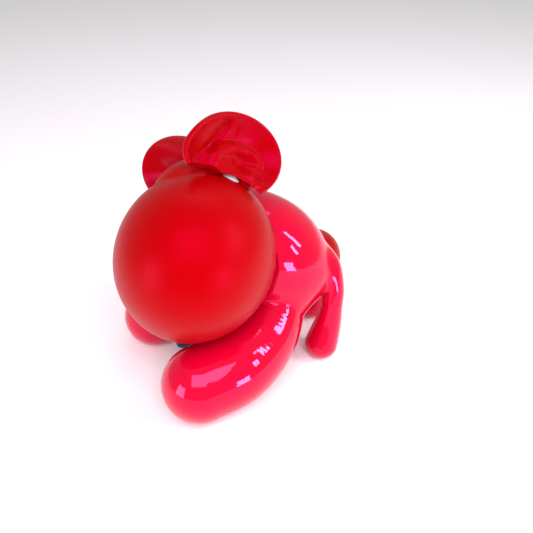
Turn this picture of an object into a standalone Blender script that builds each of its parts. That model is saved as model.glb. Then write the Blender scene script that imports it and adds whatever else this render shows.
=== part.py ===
"""Crouching vinyl creature: hollow shells on flanged joint plugs. Dimensions in centimetres."""
import math

import bmesh
import bpy
from mathutils import Matrix, Vector

for old in list(bpy.data.objects):
    bpy.data.objects.remove(old, do_unlink=True)

CM = 0.01
GAP = 0.03          # clearance between neighbouring pieces
WALL = 0.30         # moulded vinyl wall
ORIGIN = Vector((-2.14, 30.845, 0.0))    # floor point under the middle of the figure

# Neck: the head turns about NECK_AXIS, which runs through the middle of the muzzle.
MUZZLE = Vector((-4.12, 28.20, 9.15))
MUZZLE_AXIS = Vector((-0.36, -0.56, -0.75)).normalized()    # long axis of the egg
MUZZLE_RADII = (4.62, 4.70, 5.05)
NECK_AXIS = Vector((0.52, 0.81, -0.27)).normalized()
NECK_FACE = 3.0

# Head directions: side points to the near ear, crown away from the muzzle's middle.
HEAD_CROWN = Vector((0.108, 0.672, 0.733)).normalized()
HEAD_SIDE = Vector((0.627, -0.608, 0.489))
HEAD_SIDE = (HEAD_SIDE - HEAD_CROWN * HEAD_SIDE.dot(HEAD_CROWN)).normalized()
HEAD_FRONT = HEAD_CROWN.cross(HEAD_SIDE)
HEAD_FRONT *= math.copysign(1.0, -HEAD_FRONT.x)

# Stations of each swept body: x, y, z, radius.
SPINE = [(-1.62, 32.10, 7.85, 3.55), (-0.02, 31.86, 6.98, 3.66),
         (1.35, 31.60, 6.10, 2.95), (2.45, 31.80, 5.90, 2.05)]
FORELEG_NEAR = [(0.65, 31.00, 5.70, 2.20), (0.55, 30.15, 4.45, 2.05), (-0.20, 28.12, 3.07, 2.20),
                (-1.84, 26.00, 2.50, 2.36), (-3.99, 24.85, 2.15, 2.40)]
FORELEG_FAR = [(-2.60, 33.30, 6.30, 2.10), (-4.20, 34.50, 5.20, 2.10), (-5.90, 34.00, 3.60, 2.05),
               (-7.82, 31.72, 1.72, 2.12)]
HINDLEG_NEAR = [(2.85, 32.00, 6.55, 1.25), (3.85, 31.35, 6.30, 0.98), (4.38, 30.65, 5.05, 0.72),
                (4.32, 30.25, 3.80, 0.72), (4.13, 30.10, 2.45, 0.90), (3.74, 29.72, 1.00, 1.12)]
HINDLEG_FAR = [(2.30, 32.60, 5.10, 1.75), (3.00, 33.30, 4.50, 1.55), (3.65, 33.70, 2.80, 0.95),
               (3.30, 34.00, 1.00, 1.15)]
TAIL = [(2.25, 33.40, 6.20, 0.75), (3.05, 35.60, 6.15, 0.62), (3.50, 36.50, 5.00, 0.58),
        (3.60, 37.00, 3.40, 0.58)]
TAIL_BALL = Vector((3.52, 37.12, 3.05))
TAIL_BALL_R = 2.12

# Joint planes: a point on the limb's middle line and the direction from torso to limb.
SEAMS = {
    "foreleg_near": (Vector((0.31, 29.00, 3.66)), Vector((-0.37, -0.80, -0.47))),
    "foreleg_far": (Vector((-4.20, 34.50, 5.20)), Vector((-0.86, 0.12, -0.50))),
    "hindleg_near": (Vector((4.34, 30.31, 4.05)), Vector((-0.05, -0.30, -0.95))),
    "hindleg_far": (Vector((3.50, 33.60, 3.20)), Vector((0.30, 0.20, -0.93))),
    "tail": (Vector((2.80, 34.95, 6.24)), Vector((0.35, 0.93, 0.02))),
}
PLUGS = {   # stem radius, flange radius
    "neck": (1.30, 1.80),
    "foreleg_near": (0.75, 1.15),
    "foreleg_far": (0.75, 1.15),
    "hindleg_near": (0.22, 0.34),
    "hindleg_far": (0.30, 0.46),
    "tail": (0.28, 0.42),
}

COLOURS = {
    "red_satin": (0.60, 0.006, 0.010, 0.42),
    "red_gloss": (0.78, 0.004, 0.045, 0.12),
    "white": (0.86, 0.85, 0.88, 0.15),
    "navy": (0.010, 0.045, 0.085, 0.25),
    "plug_grey": (0.30, 0.30, 0.32, 0.50),
    "steel": (0.42, 0.42, 0.43, 0.40),
}


def material(name):
    """Principled material of one moulded colour."""
    found = bpy.data.materials.get(name)
    if found:
        return found
    red, green, blue, rough = COLOURS[name]
    mat = bpy.data.materials.new(name)
    mat.use_nodes = True
    shader = mat.node_tree.nodes["Principled BSDF"]
    shader.inputs["Base Color"].default_value = (red, green, blue, 1.0)
    shader.inputs["Roughness"].default_value = rough
    shader.inputs["Metallic"].default_value = 1.0 if name == "steel" else 0.0
    return mat


def place(point):
    """Layout centimetres to metres about the floor origin."""
    return (Vector(point) - ORIGIN) * CM


def to_object(bm, name, colour):
    """Store a closed mesh under a name with outward normals."""
    bmesh.ops.remove_doubles(bm, verts=bm.verts, dist=1e-6)
    bmesh.ops.recalc_face_normals(bm, faces=bm.faces)
    mesh = bpy.data.meshes.new(name)
    bm.to_mesh(mesh)
    bm.free()
    ob = bpy.data.objects.new(name, mesh)
    bpy.context.scene.collection.objects.link(ob)
    mesh.materials.append(material(colour))
    return ob


def frame_about(direction):
    """Rotation taking +Z to a direction."""
    return Vector(direction).to_track_quat("Z", "Y").to_matrix()


def trim(bm, point, normal):
    """Cut away everything beyond a plane and close the flat face."""
    geometry = bm.verts[:] + bm.edges[:] + bm.faces[:]
    bmesh.ops.bisect_plane(bm, geom=geometry, plane_co=place(point), plane_no=normal,
                           clear_outer=True, dist=1e-7)
    rim = [edge for edge in bm.edges if edge.is_boundary]
    bmesh.ops.holes_fill(bm, edges=rim, sides=0)


def ellipsoid(centre, axes, radii, segments=32, rings=16):
    """Closed ellipsoid; axes are its three unit directions."""
    bm = bmesh.new()
    bmesh.ops.create_uvsphere(bm, u_segments=segments, v_segments=rings, radius=1.0)
    turn = Matrix(axes).transposed()
    for vert in bm.verts:
        local = Vector([vert.co[i] * radii[i] for i in range(3)])
        vert.co = place(Vector(centre) + turn @ local)
    return bm


def ball(centre, radius, segments=32, rings=16):
    """Closed sphere."""
    return ellipsoid(centre, Matrix.Identity(3), [radius] * 3, segments, rings)


def spline(stations, steps):
    """Catmull-Rom curve through stations of position and radius."""
    points = [Vector(station) for station in stations]
    points = [points[0] * 2 - points[1]] + points + [points[-1] * 2 - points[-2]]
    curve = []
    for a, b, c, d in zip(points, points[1:], points[2:], points[3:]):
        for step in range(steps):
            t = step / steps
            curve.append(0.5 * (2 * b + (c - a) * t + (2 * a - 5 * b + 4 * c - d) * t * t
                                + (3 * b - a - 3 * c + d) * t ** 3))
    curve.append(points[-2])
    return curve


def add_ring(bm, centre, turn, radius, segments):
    """One ring of vertices across a swept body."""
    ring = []
    for k in range(segments):
        angle = 2 * math.pi * k / segments
        offset = turn @ Vector((math.cos(angle), math.sin(angle), 0.0)) * radius
        ring.append(bm.verts.new(place(centre + offset)))
    return ring


def sweep(stations, inset=0.0, segments=24, steps=3):
    """Round-ended body swept along stations, its skin moved inwards by inset."""
    curve = spline(stations, steps)
    points = [Vector(c[:3]) for c in curve]
    radii = [c[3] - inset for c in curve]
    tangents = [(b - a).normalized() for a, b in zip(points, points[1:])]
    tangents = [tangents[0]] + [(a + b).normalized() for a, b in zip(tangents, tangents[1:])] \
        + [tangents[-1]]
    bm = bmesh.new()
    turn = frame_about(tangents[0])
    rings = []
    for end_angle in (75, 50, 25):
        lift = math.sin(math.radians(end_angle)) * radii[0]
        shrink = math.cos(math.radians(end_angle)) * radii[0]
        rings.append(add_ring(bm, points[0] - tangents[0] * lift, turn, shrink, segments))
    for index, point in enumerate(points):
        if index:
            turn = tangents[index - 1].rotation_difference(tangents[index]).to_matrix() @ turn
        rings.append(add_ring(bm, point, turn, radii[index], segments))
    for end_angle in (25, 50, 75):
        lift = math.sin(math.radians(end_angle)) * radii[-1]
        shrink = math.cos(math.radians(end_angle)) * radii[-1]
        rings.append(add_ring(bm, points[-1] + tangents[-1] * lift, turn, shrink, segments))
    for low, high in zip(rings, rings[1:]):
        for k in range(segments):
            bm.faces.new((low[k], low[k - 1], high[k - 1], high[k]))
    for ring, centre in ((rings[0], points[0] - tangents[0] * radii[0]),
                         (rings[-1], points[-1] + tangents[-1] * radii[-1])):
        pole = bm.verts.new(place(centre))
        for k in range(segments):
            bm.faces.new((ring[k - 1], ring[k], pole))
    bmesh.ops.recalc_face_normals(bm, faces=bm.faces)
    return bm


def lathe(profile, centre, axis, segments=24, scale=(1.0, 1.0), turn=None):
    """Closed body of revolution; profile runs from axis to axis as (radius, height)."""
    bm = bmesh.new()
    turn = turn or frame_about(axis)
    rings = []
    for radius, height in profile:
        if radius == 0.0:
            rings.append([bm.verts.new(place(centre + turn @ Vector((0, 0, height))))])
            continue
        ring = []
        for k in range(segments):
            angle = 2 * math.pi * k / segments
            local = Vector((math.cos(angle) * radius * scale[0],
                            math.sin(angle) * radius * scale[1], height))
            ring.append(bm.verts.new(place(centre + turn @ local)))
        rings.append(ring)
    for low, high in zip(rings, rings[1:]):
        for k in range(segments):
            corners = [low[k % len(low)], low[k - 1 if len(low) > 1 else 0],
                       high[k - 1 if len(high) > 1 else 0], high[k % len(high)]]
            bm.faces.new(list(dict.fromkeys(corners)))
    bmesh.ops.recalc_face_normals(bm, faces=bm.faces)
    return bm


def combine(ob, tool, operation):
    """Apply one exact boolean and drop the tool object."""
    tool.hide_render = True
    tool.display_type = "WIRE"
    modifier = ob.modifiers.new(operation.lower(), "BOOLEAN")
    modifier.solver = "EXACT"
    modifier.operation = operation
    modifier.object = tool
    graph = bpy.context.evaluated_depsgraph_get()
    mesh = bpy.data.meshes.new_from_object(ob.evaluated_get(graph))
    ob.modifiers.clear()
    ob.data = mesh
    bpy.data.objects.remove(tool, do_unlink=True)


def cut(ob, bm):
    """Subtract a closed mesh."""
    combine(ob, to_object(bm, ob.name + "_cutter", "plug_grey"), "DIFFERENCE")


def join(ob, bm):
    """Add a closed mesh."""
    combine(ob, to_object(bm, ob.name + "_extra", "plug_grey"), "UNION")


def head_point(side, front, crown):
    """Point given along the head's own directions from the muzzle's middle."""
    return MUZZLE + HEAD_SIDE * side + HEAD_FRONT * front + HEAD_CROWN * crown


HEAD_AXES = (HEAD_SIDE, HEAD_FRONT, HEAD_CROWN)
EAR_SIDE, EAR_CROWN = 2.55, 5.62
EARS = {"near": (1, 0.05, 3.12), "far": (-1, -0.30, 2.96)}     # side, front, half width
EAR_HALF_HEIGHT = 2.38
EAR_TILT = math.radians(9)
EAR_CLEARANCE = 5.20            # ears stop this far from the muzzle's middle
EAR_ROOT = (0.10, 5.46)          # front and crown of the line through both ear pins
EAR_PIN = (0.60, 2.00)          # inner and outer end of an ear pin, from the middle plane
EAR_PIN_R = 0.28
NAPE = 0.45                     # room between the ears and the shoulders
EYE_R, PUPIL_R = 0.72, 0.34


def eye_centre(sign):
    return head_point(sign * 1.70, -0.45, 4.20)


def pupil_centre(sign):
    return eye_centre(sign) + (HEAD_SIDE * sign * 0.70 - HEAD_FRONT * 0.40
                               + HEAD_CROWN * 0.60).normalized() * 0.46


def open_sockets(shell):
    """Cut room for both eyes and pupils."""
    for sign in (1, -1):
        cut(shell, ball(eye_centre(sign), EYE_R + GAP, 20, 12))
        cut(shell, ball(pupil_centre(sign), PUPIL_R + GAP, 16, 10))


def muzzle_skin(inset, segments=40, rings=24):
    """Egg-shaped muzzle ball."""
    across = MUZZLE_AXIS.cross(Vector((0, 0, 1))).normalized()
    axes = (across, MUZZLE_AXIS.cross(across), MUZZLE_AXIS)
    return ellipsoid(MUZZLE, axes, [r - inset for r in MUZZLE_RADII], segments, rings)


def cranium_skin(inset):
    """Cranium and brow bump in one skin."""
    skull = to_object(ellipsoid(head_point(0, 0.5, 4.12), HEAD_AXES,
                                (2.0 - inset, 2.15 - inset, 1.84 - inset), 28, 14),
                      "cranium", "red_satin")
    join(skull, ball(head_point(0, 1.08, 3.38), 2.06 - inset, 28, 14))
    return skull


def build_muzzle():
    """Hollow ball, flat at the neck, with a hole for the neck plug and two eye sockets."""
    neck = MUZZLE + NECK_AXIS * NECK_FACE
    outer = muzzle_skin(0.0)
    trim(outer, neck, NECK_AXIS)
    shell = to_object(outer, "muzzle", "red_satin")
    inner = muzzle_skin(WALL, 32, 18)
    trim(inner, neck - NECK_AXIS * WALL, NECK_AXIS)
    cut(shell, inner)
    stem = PLUGS["neck"][0] + GAP
    cut(shell, lathe([(0, -1), (stem, -1), (stem, 1), (0, 1)], neck, NECK_AXIS, 24))
    open_sockets(shell)


def build_cranium():
    """Open cap that sits on the muzzle and carries brow, eyes and ears."""
    shell = cranium_skin(0.0)
    inner = cranium_skin(WALL)
    combine(shell, inner, "DIFFERENCE")
    shell.name = "cranium"
    cut(shell, muzzle_skin(-GAP))
    open_sockets(shell)
    hole = EAR_PIN_R + GAP
    for sign in (1, -1):
        cut(shell, lathe([(0, 0.4), (hole, 0.4), (hole, 3.0), (0, 3.0)],
                         head_point(0, *EAR_ROOT), HEAD_SIDE * sign, 16))


def build_eyes():
    for sign, side in ((1, "near"), (-1, "far")):
        eye = to_object(ball(eye_centre(sign), EYE_R, 20, 12), "eye_" + side, "white")
        cut(eye, ball(pupil_centre(sign), PUPIL_R + GAP, 16, 10))
        to_object(ball(pupil_centre(sign), PUPIL_R, 16, 10), "pupil_" + side, "navy")


def build_ears():
    """Dished ears, their roots trimmed to the head, each on a short glued pin."""
    back = [(rho, -0.85 + 1.25 * rho * rho) for rho in (0.0, 0.3, 0.55, 0.75, 0.9)]
    dish = [(0.93, 0.74), (0.8, 0.42), (0.6, 0.04), (0.35, -0.26), (0.0, -0.40)]
    profile = back + [(0.98, 0.42), (1.0, 0.58), (0.98, 0.72)] + dish
    wide = HEAD_FRONT * math.cos(EAR_TILT) - HEAD_CROWN * math.sin(EAR_TILT)
    inner, outer = EAR_PIN
    hole = EAR_PIN_R + GAP
    pin = [(0, inner), (EAR_PIN_R, inner), (EAR_PIN_R, outer), (0, outer)]
    for side, (sign, front, half_width) in EARS.items():
        normal = HEAD_SIDE * sign
        turn = Matrix((wide, normal.cross(wide), normal)).transposed()
        centre = head_point(sign * EAR_SIDE, front, EAR_CROWN)
        ear = to_object(lathe(profile, centre, normal, 36, (half_width, EAR_HALF_HEIGHT), turn),
                        "ear_" + side, "red_satin")
        cut(ear, ball(MUZZLE, EAR_CLEARANCE, 48, 32))
        cut(ear, ball(SPINE[0][:3], SPINE[0][3] + NAPE, 48, 32))
        combine(ear, cranium_skin(-GAP), "DIFFERENCE")
        open_sockets(ear)
        root = head_point(0, *EAR_ROOT)
        cut(ear, lathe([(0, 0.9), (hole, 0.9), (hole, outer + GAP), (0, outer + GAP)], root,
                       normal, 16))
        to_object(lathe(pin, root, normal, 16), "ear_pin_" + side, "plug_grey")


def torso_skin(inset):
    """Spine with shoulder and hip stubs, cut flat at every joint plane."""
    neck = MUZZLE + NECK_AXIS * (NECK_FACE + GAP + inset)
    spine = sweep(SPINE, inset, 28)
    trim(spine, neck, -NECK_AXIS)
    skin = to_object(spine, "torso", "red_gloss")
    stubs = {"foreleg_near": FORELEG_NEAR, "foreleg_far": FORELEG_FAR,
             "hindleg_near": HINDLEG_NEAR, "hindleg_far": HINDLEG_FAR}
    for limb, stations in stubs.items():
        point, axis = SEAMS[limb]
        stub = sweep(stations, inset, 20)
        trim(stub, point - axis.normalized() * (GAP / 2 + inset), axis)
        join(skin, stub)
    return skin


def build_torso():
    """Hollow torso with a tail stub and a hole in each joint face."""
    shell = torso_skin(0.0)
    stub = sweep(TAIL, 0.0, 16)
    trim(stub, SEAMS["tail"][0] - SEAMS["tail"][1].normalized() * GAP / 2, SEAMS["tail"][1])
    join(shell, stub)
    combine(shell, torso_skin(WALL), "DIFFERENCE")
    shell.name = "torso"
    neck = MUZZLE + NECK_AXIS * NECK_FACE
    holes = [(neck, NECK_AXIS, PLUGS["neck"][0], 0.8)]
    holes += [(SEAMS[limb][0], SEAMS[limb][1], PLUGS[limb][0], 0.7) for limb in SEAMS
              if limb != "tail"]
    holes += [(SEAMS["tail"][0], SEAMS["tail"][1], PLUGS["tail"][0], 2.3)]
    for centre, axis, stem, depth in holes:
        stem += GAP
        cut(shell, lathe([(0, -depth), (stem, -depth), (stem, depth), (0, depth)], centre,
                         axis, 20))


def build_plug(limb, centre, axis):
    """Stem with a snap flange at each end."""
    stem, flange = PLUGS[limb]
    shoulder, end = WALL + 1.5 * GAP, WALL + 0.28
    profile = [(0, -end), (flange, -end), (flange, -shoulder), (stem, -shoulder),
               (stem, shoulder), (flange, shoulder), (flange, end), (0, end)]
    to_object(lathe(profile, centre, axis, 24), limb + "_plug", "plug_grey")


def build_limb(limb, stations, cavity_end):
    """Hollow leg with a flat seam face, plug hole and flat sole."""
    point, axis = SEAMS[limb]
    axis = axis.normalized()
    outer = sweep(stations, 0.0, 24)
    trim(outer, point + axis * GAP / 2, -axis)
    trim(outer, ORIGIN, Vector((0, 0, -1)))
    leg = to_object(outer, limb, "red_gloss")
    inner = sweep(stations[:cavity_end], WALL, 16)
    trim(inner, point + axis * (WALL + GAP / 2), -axis)
    trim(inner, ORIGIN + Vector((0, 0, WALL)), Vector((0, 0, -1)))
    cut(leg, inner)
    stem = PLUGS[limb][0] + GAP
    cut(leg, lathe([(0, -0.2), (stem, -0.2), (stem, 0.5), (0, 0.5)], point, axis, 24))
    build_plug(limb, point, axis)


def build_tail():
    """Drooping stem and round bobble, solid, on a plug of its own."""
    point, axis = SEAMS["tail"]
    axis = axis.normalized()
    stem = sweep(TAIL, 0.0, 16)
    trim(stem, point + axis * GAP / 2, -axis)
    tail = to_object(stem, "tail", "red_satin")
    join(tail, ball(TAIL_BALL, TAIL_BALL_R, 28, 16))
    hole = PLUGS["tail"][0] + GAP
    cut(tail, lathe([(0, -0.5), (hole, -0.5), (hole, 0.55), (0, 0.55)], point, axis, 16))
    stem_r, flange = PLUGS["tail"]
    profile = [(0, -2.05), (flange, -2.05), (flange, -1.82), (stem_r, -1.82),
               (stem_r, 0.5), (0, 0.5)]
    to_object(lathe(profile, point, axis, 16), "tail_plug", "plug_grey")


def build_bib():
    """Plain tapering bib on the chest, trimmed clear of the torso."""
    top, tip = Vector((-3.25, 31.75, 4.60)), Vector((-6.00, 29.90, 0.30))
    along = (top - tip).normalized()
    across = along.cross(Vector((0.35, -0.93, 0.0))).normalized()
    axes = (across, along.cross(across), along)
    bib = to_object(ellipsoid((top + tip) / 2, axes, (1.15, 0.34, (top - tip).length / 2), 24, 16),
                    "bib", "navy")
    combine(bib, torso_skin(-GAP), "DIFFERENCE")


def build_ballast():
    """Steel disc glued low in the rump."""
    centre = Vector((0.85, 31.60, 4.25))
    up = Vector((0, 0, 1))
    to_object(lathe([(0, -0.25), (0.9, -0.25), (0.9, 0.25), (0, 0.25)], centre, up, 20),
              "ballast", "steel")


build_muzzle()
build_cranium()
build_eyes()
build_ears()
build_torso()
build_plug("neck", MUZZLE + NECK_AXIS * (NECK_FACE + GAP / 2), NECK_AXIS)
build_limb("foreleg_near", FORELEG_NEAR, 5)
build_limb("foreleg_far", FORELEG_FAR, 4)
build_limb("hindleg_near", HINDLEG_NEAR, 6)
build_limb("hindleg_far", HINDLEG_FAR, 4)
build_tail()
build_bib()
build_ballast()

for part in bpy.data.objects:
    part.data.name = part.name
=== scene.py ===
"""Looks of a crouching vinyl creature: smooth moulded skins over the jointed frame."""

import math

import bmesh
import bpy
import numpy as np
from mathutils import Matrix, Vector


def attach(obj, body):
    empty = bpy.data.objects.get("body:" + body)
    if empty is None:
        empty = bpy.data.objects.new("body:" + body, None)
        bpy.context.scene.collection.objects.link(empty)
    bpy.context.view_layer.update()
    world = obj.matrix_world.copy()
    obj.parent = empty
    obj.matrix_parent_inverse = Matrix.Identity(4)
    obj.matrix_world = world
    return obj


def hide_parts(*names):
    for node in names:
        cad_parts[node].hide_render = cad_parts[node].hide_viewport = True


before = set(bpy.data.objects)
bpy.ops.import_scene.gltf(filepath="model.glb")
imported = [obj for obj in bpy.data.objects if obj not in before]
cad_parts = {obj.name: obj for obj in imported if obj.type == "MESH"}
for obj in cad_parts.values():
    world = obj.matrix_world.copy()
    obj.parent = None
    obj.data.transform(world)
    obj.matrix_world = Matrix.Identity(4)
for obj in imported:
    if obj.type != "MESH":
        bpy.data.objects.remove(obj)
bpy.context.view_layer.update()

# Layout of the figure, in centimetres, as the moulded parts use it.
CM = 0.01
ORIGIN = np.array((-2.14, 30.845, 0.0))      # floor point under the middle of the figure
GAP = 0.03                                  # clearance between neighbouring pieces
SEAM = 0.015                                # width of the line round a joint

MUZZLE = np.array((-4.12, 28.20, 9.15))
MUZZLE_RADII = (4.62, 4.70, 5.05)
NECK_FACE = 3.0                 # the neck joint lies this far from the muzzle's middle

SPINE = [(-1.62, 32.10, 7.85, 3.55), (-0.02, 31.86, 6.98, 3.66),
         (1.35, 31.60, 6.10, 2.95), (2.45, 31.80, 5.90, 2.05)]
FORELEG_NEAR = [(0.65, 31.00, 5.70, 2.20), (0.55, 30.15, 4.45, 2.05), (-0.20, 28.12, 3.07, 2.20),
                (-1.84, 26.00, 2.50, 2.36), (-3.99, 24.85, 2.15, 2.40)]
FORELEG_FAR = [(-2.60, 33.30, 6.30, 2.10), (-4.20, 34.50, 5.20, 2.10), (-5.90, 34.00, 3.60, 2.05),
               (-7.82, 31.72, 1.72, 2.12)]
HINDLEG_NEAR = [(2.85, 32.00, 6.55, 1.25), (3.85, 31.35, 6.30, 0.98), (4.38, 30.65, 5.05, 0.72),
                (4.32, 30.25, 3.80, 0.72), (4.13, 30.10, 2.45, 0.90), (3.74, 29.72, 1.00, 1.12)]
HINDLEG_FAR = [(2.30, 32.60, 5.10, 1.75), (3.00, 33.30, 4.50, 1.55), (3.65, 33.70, 2.80, 0.95),
               (3.30, 34.00, 1.00, 1.15)]
TAIL = [(2.25, 33.40, 6.20, 0.75), (3.05, 35.60, 6.15, 0.62), (3.50, 36.50, 5.00, 0.58),
        (3.60, 37.00, 3.40, 0.58)]
RUMP = (2.55, 32.75, 5.35, 1.95)      # rounds the body off above the hind legs
TAIL_BALL = np.array((3.52, 37.12, 3.05))
TAIL_BALL_R = 2.12

LIMBS = {"foreleg_near": FORELEG_NEAR, "foreleg_far": FORELEG_FAR,
         "hindleg_near": HINDLEG_NEAR, "hindleg_far": HINDLEG_FAR}


def unit(vector):
    vector = np.array(vector, float)
    return vector / np.linalg.norm(vector)


MUZZLE_AXIS = unit((-0.36, -0.56, -0.75))
NECK_AXIS = unit((0.52, 0.81, -0.27))
SEAMS = {   # point on the joint face and the direction from torso to limb
    "foreleg_near": (np.array((0.31, 29.00, 3.66)), unit((-0.37, -0.80, -0.47))),
    "foreleg_far": (np.array((-4.20, 34.50, 5.20)), unit((-0.86, 0.12, -0.50))),
    "hindleg_near": (np.array((4.34, 30.31, 4.05)), unit((-0.05, -0.30, -0.95))),
    "hindleg_far": (np.array((3.50, 33.60, 3.20)), unit((0.30, 0.20, -0.93))),
    "tail": (np.array((2.80, 34.95, 6.24)), unit((0.35, 0.93, 0.02))),
}

# Head directions: side points to the near ear, crown away from the muzzle's middle.
CROWN = unit((0.108, 0.672, 0.733))
SIDE = np.array((0.627, -0.608, 0.489))
SIDE = unit(SIDE - CROWN * (SIDE @ CROWN))
FRONT = np.cross(CROWN, SIDE)
FRONT = FRONT * math.copysign(1.0, -FRONT[0])
EAR_SIDE, EAR_CROWN = 2.55, 5.62
EARS = {"near": (1, 0.05, 3.12), "far": (-1, -0.30, 2.96)}     # side, front, half width
EAR_FLARE = {"near": (0.22, 0.07), "far": (0.0, 0.0)}     # front rim laid back and drawn out
BROW_NOTCH = {"near": 1.80, "far": 0.0}                   # room for the brow beside the ear
EAR_HALF_HEIGHT = 2.38
EAR_TILT = math.radians(9)
EAR_CLEARANCE = 5.30            # ears stop this far from the muzzle's middle
NAPE = 0.45                     # room between the ears and the shoulders
EYE_R, PUPIL_R = 0.76, 0.34
EYE_ROOM = 0.22                 # clearance of the ears round the eyes
SKULL = (0, 0.40, 4.00)         # head directions, like every place below
SKULL_RADII = (1.98, 2.10, 1.78)
BROW = (0, 1.05, 3.32)
BROW_R = 2.02
EAR_ROOTS = (((0.45, 0.10, 4.95), (1.60, 0.10, 5.46), 0.80),
             ((0.60, -0.70, 4.30), (2.00, -1.30, 4.55), 0.62))     # start, end, radius
PARTING_AXIS = unit((0.041, 0.923, 0.383))      # the cranium parts from the muzzle along this
PARTING = 4.60

# Spacing of the points that each skin is made from.
HEAD_GRID, TORSO_GRID, LIMB_GRID, BIB_GRID, CUTTER_GRID = 0.13, 0.14, 0.12, 0.09, 0.30


# ---------------------------------------------------------------- skins from fields

def smooth_min(a, b, blend):
    """Union of two distances with a fillet about a third of blend wide."""
    share = np.clip(0.5 + 0.5 * (b - a) / blend, 0.0, 1.0)
    return b + (a - b) * share - blend * share * (1.0 - share)


def ease(value):
    value = np.clip(value, 0.0, 1.0)
    return value * value * (3.0 - 2.0 * value)


def ellipsoid(centre, axes, radii):
    """Distance to an ellipsoid whose unit axes are given."""
    turn, radii = np.array(axes), np.array(radii, float)

    def field(points):
        local = (points - centre) @ turn.T
        near = np.linalg.norm(local / radii, axis=1)
        slope = np.linalg.norm(local / radii ** 2, axis=1) + 1e-9
        return near * (near - 1.0) / slope
    return field


def ball(centre, radius):
    return lambda points: np.linalg.norm(points - centre, axis=1) - radius


def spline(stations, steps):
    """Catmull-Rom curve through stations of position and radius."""
    points = [np.array(station, float) for station in stations]
    points = [points[0] * 2 - points[1]] + points + [points[-1] * 2 - points[-2]]
    curve = []
    for a, b, c, d in zip(points, points[1:], points[2:], points[3:]):
        for step in range(steps):
            t = step / steps
            curve.append(0.5 * (2 * b + (c - a) * t + (2 * a - 5 * b + 4 * c - d) * t * t
                                + (3 * b - a - 3 * c + d) * t ** 3))
    curve.append(points[-2])
    return np.array(curve)


def limb(stations, steps=9):
    """Distance to a round-ended body swept along stations."""
    curve = spline(stations, steps)

    def field(points):
        best = np.full(len(points), 1e9)
        for start, end in zip(curve, curve[1:]):
            run = end[:3] - start[:3]
            t = np.clip((points - start[:3]) @ run / (run @ run), 0.0, 1.0)
            away = np.linalg.norm(points - start[:3] - t[:, None] * run, axis=1)
            best = np.minimum(best, away - start[3] - t * (end[3] - start[3]))
        return best
    return field


def slope_of(field, points, step=0.01):
    """Gradient of a field by central differences."""
    gradient = np.empty_like(points)
    for axis in range(3):
        shift = np.zeros(3)
        shift[axis] = step
        gradient[:, axis] = (field(points + shift) - field(points - shift)) / (2 * step)
    return gradient


def settle(field, points, rounds=2):
    """Move points on to the surface where the field is zero."""
    for _ in range(rounds):
        gradient = slope_of(field, points)
        share = field(points) / np.maximum((gradient ** 2).sum(1), 1e-6)
        points = points - gradient * share[:, None]
    return points


def relax(points, faces):
    """Move each point halfway to the middle of its neighbours."""
    total, count = np.zeros_like(points), np.zeros(len(points))
    for k in range(4):
        a, b = faces[:, k], faces[:, (k + 1) % 4]
        for here, there in ((a, b), (b, a)):
            np.add.at(total, here, points[there])
            np.add.at(count, here, 1.0)
    return 0.5 * points + 0.5 * total / count[:, None]


def skin(field, low, high, size):
    """Closed quad mesh of a field's zero surface inside a box, as a bmesh in centimetres."""
    low, high = np.array(low, float), np.array(high, float)
    counts = np.ceil((high - low) / size).astype(int) + 1
    axes = [low[i] + size * np.arange(counts[i]) for i in range(3)]
    grid = np.stack(np.meshgrid(*axes, indexing="ij"), -1).reshape(-1, 3)
    inside = (field(grid) < 0.0).reshape(counts)
    corners = sum(inside[i:counts[0] - 1 + i, j:counts[1] - 1 + j, k:counts[2] - 1 + k].astype(int)
                  for i in (0, 1) for j in (0, 1) for k in (0, 1))
    mixed = (corners > 0) & (corners < 8)
    index = np.full(mixed.shape, -1)
    index[mixed] = np.arange(mixed.sum())
    points = low + (np.argwhere(mixed) + 0.5) * size
    quads = []
    for axis in range(3):
        u, v = (axis + 1) % 3, (axis + 2) % 3
        first = np.moveaxis(inside, axis, 0)[:-1]
        second = np.moveaxis(inside, axis, 0)[1:]
        rest = [a for a in range(3) if a != axis]
        for entering in (True, False):
            edges = np.argwhere((second & ~first) if entering else (first & ~second))
            cell = np.empty_like(edges)
            cell[:, axis] = edges[:, 0]
            cell[:, rest[0]] = edges[:, 1]
            cell[:, rest[1]] = edges[:, 2]
            ring = []
            for du, dv in ((-1, -1), (0, -1), (0, 0), (-1, 0)):
                at = cell.copy()
                at[:, u] += du
                at[:, v] += dv
                ring.append(index[at[:, 0], at[:, 1], at[:, 2]])
            ring = np.stack(ring, 1)
            quads.append(ring[:, ::-1] if entering else ring)
    faces = np.concatenate(quads)
    points = settle(field, points, 2)
    for _ in range(3):
        points = settle(field, relax(points, faces), 1)
    bm = bmesh.new()
    verts = [bm.verts.new(p) for p in points]
    for quad in faces:
        bm.faces.new([verts[i] for i in quad])
    bmesh.ops.recalc_face_normals(bm, faces=bm.faces)
    return bm


def trim(bm, point, normal):
    """Cut away everything beyond a plane and close the flat face."""
    geometry = bm.verts[:] + bm.edges[:] + bm.faces[:]
    bmesh.ops.bisect_plane(bm, geom=geometry, plane_co=Vector(point), plane_no=Vector(normal),
                           clear_outer=True, dist=1e-5)
    bmesh.ops.holes_fill(bm, edges=[edge for edge in bm.edges if edge.is_boundary], sides=0)


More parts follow.
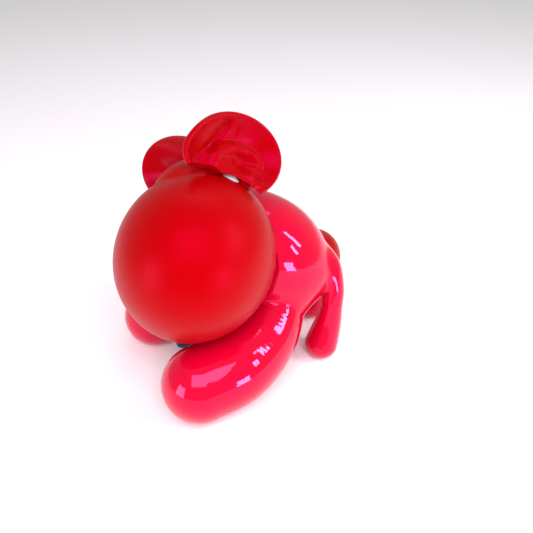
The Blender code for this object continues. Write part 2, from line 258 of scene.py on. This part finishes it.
def finish_piece(bm, name, body, finish, stands_for):
    """Place a skin in the frame, shade it smooth and tie it to its body."""
    for vert in bm.verts:
        vert.co = (vert.co - Vector(ORIGIN)) * CM
    mesh = bpy.data.meshes.new(name)
    bm.to_mesh(mesh)
    bm.free()
    mesh.polygons.foreach_set("use_smooth", [True] * len(mesh.polygons))
    mesh.set_sharp_from_angle(angle=math.radians(42))
    mesh.materials.append(finish)
    piece = bpy.data.objects.new(name, mesh)
    bpy.context.scene.collection.objects.link(piece)
    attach(piece, body)
    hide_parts(*stands_for)


# ---------------------------------------------------------------- finishes

def mottle_group():
    """Slow colour drift, cast-in unevenness and fine skin grain shared by the vinyl finishes."""
    group = bpy.data.node_groups.new("vinyl_mottle", "ShaderNodeTree")
    sockets = (("Base", "NodeSocketColor"), ("Deep", "NodeSocketColor"),
               ("Drift", "NodeSocketFloat"), ("Roughness", "NodeSocketFloat"),
               ("Spread", "NodeSocketFloat"), ("Grain", "NodeSocketFloat"))
    for name, kind in sockets:
        group.interface.new_socket(name, in_out="INPUT", socket_type=kind)
    for name, kind in (("Color", "NodeSocketColor"), ("Rough", "NodeSocketFloat"),
                       ("Height", "NodeSocketFloat")):
        group.interface.new_socket(name, in_out="OUTPUT", socket_type=kind)
    nodes, links = group.nodes, group.links
    given, made = nodes.new("NodeGroupInput"), nodes.new("NodeGroupOutput")
    place = nodes.new("ShaderNodeTexCoord")
    drift = nodes.new("ShaderNodeTexNoise")
    drift.inputs["Scale"].default_value = 22.0
    drift.inputs["Detail"].default_value = 3.0
    grain = nodes.new("ShaderNodeTexNoise")
    grain.inputs["Scale"].default_value = 900.0
    grain.inputs["Detail"].default_value = 2.0
    for noise in (drift, grain):
        links.new(place.outputs["Object"], noise.inputs["Vector"])
    share = nodes.new("ShaderNodeMath")
    share.operation = "MULTIPLY"
    links.new(drift.outputs["Fac"], share.inputs[0])
    links.new(given.outputs["Drift"], share.inputs[1])
    mix = nodes.new("ShaderNodeMix")
    mix.data_type = "RGBA"
    links.new(share.outputs[0], mix.inputs["Factor"])
    links.new(given.outputs["Base"], mix.inputs[6])
    links.new(given.outputs["Deep"], mix.inputs[7])
    links.new(mix.outputs[2], made.inputs["Color"])
    rough = nodes.new("ShaderNodeMath")
    rough.operation = "MULTIPLY_ADD"
    links.new(drift.outputs["Fac"], rough.inputs[0])
    links.new(given.outputs["Spread"], rough.inputs[1])
    links.new(given.outputs["Roughness"], rough.inputs[2])
    links.new(rough.outputs[0], made.inputs["Rough"])
    height = nodes.new("ShaderNodeMath")
    height.operation = "MULTIPLY"
    links.new(grain.outputs["Fac"], height.inputs[0])
    links.new(given.outputs["Grain"], height.inputs[1])
    links.new(height.outputs[0], made.inputs["Height"])
    return group


MOTTLE = mottle_group()


def vinyl(name, base, deep, drift, rough, spread, grain, coat=0.0, coat_rough=0.05, specular=0.5,
          gleam_tint=(1.0, 1.0, 1.0)):
    """Moulded vinyl: pigmented body colour, uneven sheen, fine grain and an optional clear coat."""
    mat = bpy.data.materials.new(name)
    mat.use_nodes = True
    nodes, links = mat.node_tree.nodes, mat.node_tree.links
    shader = nodes["Principled BSDF"]
    group = nodes.new("ShaderNodeGroup")
    group.node_tree = MOTTLE
    group.inputs["Base"].default_value = (*base, 1.0)
    group.inputs["Deep"].default_value = (*deep, 1.0)
    group.inputs["Drift"].default_value = drift
    group.inputs["Roughness"].default_value = rough
    group.inputs["Spread"].default_value = spread
    group.inputs["Grain"].default_value = grain
    links.new(group.outputs["Color"], shader.inputs["Base Color"])
    links.new(group.outputs["Rough"], shader.inputs["Roughness"])
    bump = nodes.new("ShaderNodeBump")
    bump.inputs["Strength"].default_value = 0.5
    bump.inputs["Distance"].default_value = 0.0004
    links.new(group.outputs["Height"], bump.inputs["Height"])
    links.new(bump.outputs["Normal"], shader.inputs["Normal"])
    shader.inputs["Specular IOR Level"].default_value = specular
    shader.inputs["Specular Tint"].default_value = (*gleam_tint, 1.0)
    shader.inputs["Coat Weight"].default_value = coat
    shader.inputs["Coat Roughness"].default_value = coat_rough
    return mat


SATIN = vinyl("satin_red_vinyl", (0.33, 0.0003, 0.0006), (0.30, 0.0001, 0.0003), 0.5, 0.34, 0.06,
              0.25, specular=0.28, gleam_tint=(1.0, 0.01, 0.14))
GLOSS = vinyl("gloss_red_vinyl", (0.52, 0.0003, 0.022), (0.46, 0.0001, 0.014), 0.5, 0.05, 0.03,
              0.0, coat=0.16, coat_rough=0.03, specular=0.90, gleam_tint=(1.0, 0.10, 0.40))
EAR_RED = vinyl("ear_red_vinyl", (0.32, 0.0003, 0.0012), (0.25, 0.0001, 0.0008), 0.5, 0.24, 0.06,
                0.15, specular=0.22, gleam_tint=(1.0, 0.02, 0.35))
WHITE = vinyl("white_eye_enamel", (0.80, 0.79, 0.84), (0.74, 0.73, 0.80), 0.4, 0.18, 0.04, 0.0,
              coat=0.6)
NAVY = vinyl("navy_vinyl", (0.004, 0.034, 0.070), (0.002, 0.022, 0.050), 0.5, 0.26, 0.08, 0.2)
PLUG = vinyl("grey_plug_vinyl", (0.20, 0.20, 0.21), (0.15, 0.15, 0.16), 0.6, 0.50, 0.10, 0.6)
STEEL = vinyl("ballast_steel", (0.46, 0.46, 0.47), (0.38, 0.38, 0.39), 0.6, 0.32, 0.12, 0.5)
STEEL.node_tree.nodes["Principled BSDF"].inputs["Metallic"].default_value = 1.0


# ---------------------------------------------------------------- head

def head_point(side, front, crown):
    """Point given along the head's own directions from the muzzle's middle."""
    return MUZZLE + SIDE * side + FRONT * front + CROWN * crown


def muzzle_axes():
    """Directions of the egg's three radii."""
    across = unit(np.cross(MUZZLE_AXIS, (0.0, 0.0, 1.0)))
    return across, np.cross(MUZZLE_AXIS, across), MUZZLE_AXIS


def head_field():
    """Egg muzzle, cranium, brow bump and ear roots running into each other."""
    egg = ellipsoid(MUZZLE, muzzle_axes(), MUZZLE_RADII)
    skull = ellipsoid(head_point(*SKULL), (SIDE, FRONT, CROWN), SKULL_RADII)
    brow = ball(head_point(*BROW), BROW_R)
    roots = []
    for sign in (1, -1):
        for start, end, radius in EAR_ROOTS:
            ends = [(*head_point(sign * x, y, z), radius) for x, y, z in (start, end)]
            roots.append(limb(ends, 2))

    def field(points):
        top = smooth_min(skull(points), brow(points), 0.25)
        for root in roots:
            top = smooth_min(top, root(points), 0.40)
        return smooth_min(egg(points), top, 0.07)
    return field


HEAD = head_field()


def eye_centre(sign):
    """Middle of an eye; sign is 1 on the near side and -1 on the far side."""
    return head_point(sign * 1.70, -0.45, 4.20)


def pupil_centre(sign):
    """Middle of a pupil, set into the upper outer part of its eye."""
    return eye_centre(sign) + unit(SIDE * sign * 0.70 - FRONT * 0.40 + CROWN * 0.60) * 0.46


def make_head():
    """Muzzle and cranium, parted where the brow rises."""
    low, high = MUZZLE - 6.0, MUZZLE + 6.0
    high = high + np.array((1.0, 1.5, 1.8))
    neck = MUZZLE + NECK_AXIS * NECK_FACE
    parting = MUZZLE + PARTING_AXIS * PARTING
    muzzle = skin(HEAD, low, high, HEAD_GRID)
    cranium = muzzle.copy()
    trim(muzzle, neck, NECK_AXIS)
    trim(muzzle, parting, PARTING_AXIS)
    trim(cranium, parting + PARTING_AXIS * GAP / 2, -PARTING_AXIS)
    trim(cranium, neck, NECK_AXIS)
    finish_piece(muzzle, "muzzle_skin", "head", SATIN, ["muzzle"])
    finish_piece(cranium, "cranium_skin", "head", SATIN, ["cranium"])


def make_eyes():
    """White eyeballs with navy pupils."""
    for sign, side in ((1, "near"), (-1, "far")):
        for part, centre, radius, slot, finish in (
                ("eye", eye_centre(sign), EYE_R, "white", WHITE),
                ("pupil", pupil_centre(sign), PUPIL_R, "navy", NAVY)):
            bm = bmesh.new()
            bmesh.ops.create_uvsphere(bm, u_segments=48, v_segments=32, radius=radius)
            bmesh.ops.translate(bm, verts=bm.verts, vec=Vector(centre))
            finish_piece(bm, part + "_skin_" + side, "head", finish, [part + "_" + side])


def hump(u, v, centre, size, height):
    """Round-topped hump or hollow on the ear's face."""
    return height * np.exp(-((u - centre[0]) ** 2 + (v - centre[1]) ** 2) / size ** 2)


def ridge(u, v, path, width, height):
    """Rounded ridge or groove along a path of points, fading at both ends."""
    path = np.array(path, float)
    best, along = np.full(u.shape, 1e9), np.zeros(u.shape)
    spots = np.stack((u, v), -1)
    runs = np.linalg.norm(np.diff(path, axis=0), axis=1)
    starts = np.concatenate(([0.0], np.cumsum(runs)))
    for k, (a, b) in enumerate(zip(path, path[1:])):
        t = np.clip((spots - a) @ (b - a) / ((b - a) @ (b - a)), 0.0, 1.0)
        away = np.linalg.norm(spots - a - t[..., None] * (b - a), axis=-1)
        closer = away < best
        best = np.where(closer, away, best)
        along = np.where(closer, (starts[k] + t * runs[k]) / starts[-1], along)
    fade = ease(along / 0.25 + 0.25) * ease((1.0 - along) / 0.25 + 0.25)
    return height * np.exp(-(best / width) ** 2) * fade


def ear_folds(u, v):
    """Raised boss with its arch, the long fold before it and the fleshy lobe below."""
    away = np.hypot((u + 0.06) / 0.58, (v - 0.10) / 0.50)
    relief = 0.30 * ease((1.10 - away) / 0.34)
    relief += ridge(u, v, [(0.40, 0.26), (0.29, -0.06), (-0.07, -0.22), (-0.40, -0.12),
                           (-0.60, 0.12)], 0.095, 0.19)
    relief += hump(u, v, (-0.25, 0.08), 0.20, -0.30)
    relief += ridge(u, v, [(0.06, -0.84), (0.19, -0.58), (0.34, -0.32), (0.48, -0.04)], 0.08, -0.26)
    relief += ridge(u, v, [(-0.10, -0.76), (-0.09, -0.48)], 0.045, -0.10)
    relief += hump(u, v, (-0.40, 0.60), 0.26, 0.30)
    relief += ridge(u, v, [(-0.44, 0.40), (-0.60, 0.48), (-0.76, 0.70)], 0.05, -0.18)
    return relief


def hollow(u, v):
    """Deep pocket behind the brow, sunk through the whole ear."""
    return hump(u, v, (0.64, 0.14), 0.27, -0.60)


EAR_BACK = [(0.0, -0.85), (0.3, -0.7375), (0.55, -0.472), (0.75, -0.147), (0.9, 0.1625)]
EAR_RIM = [(0.98, 0.42), (1.0, 0.58), (0.98, 0.72)]
EAR_DISH = [(0.93, 0.74), (0.8, 0.42), (0.6, 0.04), (0.35, -0.26), (0.0, -0.40)]


def ear_profile(steps=9):
    """Smooth section of the ear from the middle of its back, round the rim, to its middle."""
    section = spline([(*p, 0.0) for p in EAR_BACK + EAR_RIM + EAR_DISH], steps)
    section[:, 0] = np.clip(section[:, 0], 0.0, 1.0)
    return section[:, :2]


def ear_body(side):
    """Dished ear with its folded inner face, and the place where the brow needs room."""
    sign, front, half_width = EARS[side]
    section = ear_profile()
    turned = np.argmax(section[:, 0])
    segments = 144
    angles = 2 * math.pi * np.arange(segments) / segments
    wide = FRONT * math.cos(EAR_TILT) - CROWN * math.sin(EAR_TILT)
    out = SIDE * sign
    tall = np.cross(out, wide) * sign
    middle = head_point(sign * EAR_SIDE, front, EAR_CROWN)
    brow_side = middle + wide * half_width * 0.66 + tall * EAR_HALF_HEIGHT * 0.92
    bm = bmesh.new()
    rings = []
    for k, (radius, height) in enumerate(section):
        ring_angles = angles if radius > 1e-6 else angles[:1]
        u, v = radius * np.cos(ring_angles), radius * np.sin(ring_angles)
        lift = np.full(u.shape, height)
        if k > turned:
            lift = lift + ear_folds(u, v) * ease((0.97 - radius) / 0.22)
        lift = lift + hollow(u, v) * ease((1.0 - radius) / 0.25)
        flare = ease((u - 0.25) / 0.75) * ease((v + 0.75) / 0.8)
        lift = lift - EAR_FLARE[side][0] * flare
        u = u + EAR_FLARE[side][1] * flare
        points = (middle + np.outer(u * half_width, wide) + np.outer(v * EAR_HALF_HEIGHT, tall)
                  + np.outer(lift, out))
        rings.append([bm.verts.new(p) for p in points])
    for low, high in zip(rings, rings[1:]):
        for k in range(segments):
            corners = [low[k % len(low)], low[k - 1 if len(low) > 1 else 0],
                       high[k - 1 if len(high) > 1 else 0], high[k % len(high)]]
            bm.faces.new(list(dict.fromkeys(corners)))
    bmesh.ops.recalc_face_normals(bm, faces=bm.faces)
    return bm, brow_side


def round_cutter(centre, radius, segments):
    """Closed ball for cutting."""
    bm = bmesh.new()
    bmesh.ops.create_uvsphere(bm, u_segments=segments, v_segments=segments // 2, radius=radius)
    bmesh.ops.translate(bm, verts=bm.verts, vec=Vector(centre))
    return bm


def carve(bm, cutters):
    """Subtract closed meshes from a closed mesh; every mesh is given as a bmesh."""
    def stand_in(shape):
        mesh = bpy.data.meshes.new("carving")
        shape.to_mesh(mesh)
        shape.free()
        ob = bpy.data.objects.new("carving", mesh)
        bpy.context.scene.collection.objects.link(ob)
        return ob
    work = stand_in(bm)
    tools = [stand_in(cutter) for cutter in cutters]
    for tool in tools:
        modifier = work.modifiers.new("carve", "BOOLEAN")
        modifier.operation, modifier.solver, modifier.object = "DIFFERENCE", "EXACT", tool
    graph = bpy.context.evaluated_depsgraph_get()
    mesh = bpy.data.meshes.new_from_object(work.evaluated_get(graph))
    carved = bmesh.new()
    carved.from_mesh(mesh)
    for ob in [work] + tools:
        bpy.data.objects.remove(ob, do_unlink=True)
    return carved


def make_ears():
    """Ears with roots hollowed to clear the muzzle, cranium, shoulders and eyes."""
    clear_head = skin(lambda points: HEAD(points) - GAP, MUZZLE - 6.2, MUZZLE + 7.6, CUTTER_GRID)
    for side, (sign, _, _) in EARS.items():
        ear, brow_side = ear_body(side)
        notch = [round_cutter(brow_side, BROW_NOTCH[side], 72)] if BROW_NOTCH[side] else []
        cutters = notch + [round_cutter(MUZZLE, EAR_CLEARANCE, 96),
                           round_cutter(SPINE[0][:3], SPINE[0][3] + NAPE, 96),
                           clear_head.copy(),
                           round_cutter(eye_centre(sign), EYE_R + EYE_ROOM, 40),
                           round_cutter(pupil_centre(sign), PUPIL_R + GAP, 32)]
        finish_piece(carve(ear, cutters), "ear_skin_" + side, "head",
                     EAR_RED, ["ear_" + side])
    clear_head.free()


# ---------------------------------------------------------------- body

STUB_REACH = {"foreleg_near": 2.9, "foreleg_far": 2.8, "hindleg_near": 1.05, "hindleg_far": 1.5,
              "tail": 1.1}      # how far round its joint each stub is cut flat
STUB_OVER = 0.5                 # a stub runs this far past its joint before it is cut back
FILLETS = {"foreleg_near": 1.0, "foreleg_far": 1.0, "hindleg_near": 0.35, "hindleg_far": 0.40,
           "tail": 0.30}


def torso_field():
    """Spine flowing into shoulder, hip and tail stubs; each fillet dies out at its joint."""
    spine, rump = limb(SPINE, 8), ball(RUMP[:3], RUMP[3])
    stubs = [(limb(stations, 6), *SEAMS[name], FILLETS[name]) for name, stations in LIMBS.items()]
    stubs.append((limb(TAIL[:3], 6), *SEAMS["tail"], FILLETS["tail"]))

    def field(points):
        body = smooth_min(spine(points), rump(points), 0.8)
        for stub, point, axis, reach in stubs:
            beyond = (points - point) @ axis
            blend = 0.02 + reach * ease((-beyond - 0.05) / 1.6)
            body = smooth_min(body, np.maximum(stub(points), beyond - STUB_OVER), blend)
        return body
    return field


def face_stub(bm, point, axis, radius, depth=1.2):
    """Cut one stub back to its flat joint face and leave the rest of the torso alone."""
    def nearby(vert):
        away = np.array(vert.co) - point
        along = away @ axis
        return -depth < along < depth and np.linalg.norm(away - axis * along) < radius
    near = {vert for vert in bm.verts if nearby(vert)}
    faces = [face for face in bm.faces if all(vert in near for vert in face.verts)]
    edges = {edge for face in faces for edge in face.edges}
    verts = {vert for face in faces for vert in face.verts}
    bmesh.ops.bisect_plane(bm, geom=list(verts) + list(edges) + faces, plane_co=Vector(point),
                           plane_no=Vector(axis), clear_outer=True, dist=1e-5)
    bmesh.ops.holes_fill(bm, edges=[edge for edge in bm.edges if edge.is_boundary], sides=0)


def make_torso():
    """Glossy body skin with flat faces at the neck, limbs and tail."""
    low, high = np.array((-7.0, 26.5, 1.0)), np.array((6.8, 37.5, 12.2))
    bm = skin(torso_field(), low, high, TORSO_GRID)
    trim(bm, MUZZLE + NECK_AXIS * (NECK_FACE + GAP), -NECK_AXIS)
    for name, (point, axis) in SEAMS.items():
        face_stub(bm, point - axis * SEAM / 2, axis, STUB_REACH[name])
    finish_piece(bm, "torso_skin", "torso", GLOSS, ["torso"])


def make_limbs():
    """Four legs, each cut flat at its joint and at its sole."""
    for name, stations in LIMBS.items():
        reach = max(s[3] for s in stations) + 0.4
        places = np.array([s[:3] for s in stations])
        bm = skin(limb(stations), places.min(0) - reach, places.max(0) + reach, LIMB_GRID)
        point, axis = SEAMS[name]
        trim(bm, point + axis * SEAM / 2, -axis)
        trim(bm, ORIGIN, (0, 0, -1))
        finish_piece(bm, name + "_skin", name, GLOSS, [name])


def make_tail():
    """Bobble on its curved stem."""
    stem, bobble = limb(TAIL), ball(TAIL_BALL, TAIL_BALL_R)

    def field(points):
        return smooth_min(stem(points), bobble(points), 0.5)
    bm = skin(field, (0.4, 32.0, 0.6), (6.2, 39.6, 7.4), LIMB_GRID)
    point, axis = SEAMS["tail"]
    trim(bm, point + axis * SEAM / 2, -axis)
    finish_piece(bm, "tail_skin", "tail", SATIN, ["tail"])


def make_bib():
    """Thin pointed bib below the chest."""
    top, tip = np.array((-3.25, 31.75, 4.60)), np.array((-6.00, 29.90, 0.30))
    along = unit(top - tip)
    across = unit(np.cross(along, (0.35, -0.93, 0.0)))
    half = np.linalg.norm(top - tip) / 2
    field = ellipsoid((top + tip) / 2, (across, np.cross(along, across), along), (1.15, 0.34, half))
    bm = skin(field, (-7.0, 29.0, 0.0), (-2.2, 32.8, 5.2), BIB_GRID)
    finish_piece(bm, "bib_skin", "torso", NAVY, ["bib"])


# ---------------------------------------------------------------- studio

BACKDROP = 0.50                 # strength of the plain white surroundings


def make_stage():
    """Pale floor and plain white surroundings."""
    bpy.ops.mesh.primitive_plane_add(size=8.0, location=(0.0, 0.0, 0.0))
    floor = bpy.context.object
    floor.name = "floor"
    mat = bpy.data.materials.new("pale_floor")
    mat.use_nodes = True
    shader = mat.node_tree.nodes["Principled BSDF"]
    shader.inputs["Base Color"].default_value = (0.95, 0.95, 0.95, 1.0)
    shader.inputs["Roughness"].default_value = 0.9
    floor.data.materials.append(mat)
    world = bpy.data.worlds.new("white_room")
    bpy.context.scene.world = world
    world.use_nodes = True
    background = world.node_tree.nodes["Background"]
    background.inputs["Color"].default_value = (1.0, 1.0, 1.0, 1.0)
    background.inputs["Strength"].default_value = BACKDROP


def soft_light(name, aim, azimuth, elevation, distance, size, power, colour=(1, 1, 1)):
    """Rectangular light facing aim; azimuth turns from the front towards +X."""
    a, e = math.radians(azimuth), math.radians(elevation)
    away = Vector((math.sin(a) * math.cos(e), -math.cos(a) * math.cos(e), math.sin(e)))
    data = bpy.data.lights.new(name, "AREA")
    data.shape = "RECTANGLE"
    data.size, data.size_y = size
    data.energy = power
    data.color = colour
    lamp = bpy.data.objects.new(name, data)
    bpy.context.scene.collection.objects.link(lamp)
    lamp.location = Vector(aim) + away * distance
    lamp.rotation_euler = away.to_track_quat("Z", "Y").to_euler()


def make_lights():
    """Soft windows to the left, right and above, and strips beside and behind the figure."""
    aim = ((MUZZLE - ORIGIN) * CM).tolist()
    low = ((np.array(FORELEG_NEAR[3][:3]) - ORIGIN) * CM).tolist()
    soft_light("left_window", aim, -50, 2, 1.0, (0.40, 0.66), 7.0, (1.0, 0.86, 0.94))
    soft_light("right_window", aim, 44, -3, 1.0, (0.24, 0.38), 7.0, (1.0, 0.86, 0.94))
    soft_light("high_window", low, 0, 54, 1.0, (0.76, 0.60), 9.0, (1.0, 0.86, 0.96))
    soft_light("side_strip", low, 82, 38, 1.0, (0.08, 0.44), 3.4, (0.93, 0.95, 1.0))
    soft_light("low_strip", low, 67, 27, 1.0, (0.08, 0.24), 2.0, (0.93, 0.95, 1.0))
    soft_light("back_strip", low, 165, 66, 1.0, (0.70, 0.12), 1.2, (1.0, 0.90, 0.95))


def make_camera():
    """Camera close above the figure, looking down on its muzzle."""
    data = bpy.data.cameras.new("camera")
    data.sensor_width = 36.0
    data.lens = 39.92
    camera = bpy.data.objects.new("camera", data)
    bpy.context.scene.collection.objects.link(camera)
    camera.location = ((np.array((0.0, 0.0, 29.0)) - ORIGIN) * CM).tolist()
    camera.rotation_euler = (math.radians(54.0), 0.0, 0.0)
    bpy.context.scene.camera = camera
    bpy.context.scene.view_settings.view_transform = "Standard"


def dress_frame():
    """Give the pieces kept from the frame their own finishes."""
    for name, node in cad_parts.items():
        if name.endswith("_plug") or name.startswith("ear_pin"):
            node.material_slots[0].material = PLUG
        if name == "ballast":
            node.material_slots[0].material = STEEL


make_head()
make_eyes()
make_ears()
make_torso()
make_limbs()
make_tail()
make_bib()
dress_frame()
make_stage()
make_lights()
make_camera()
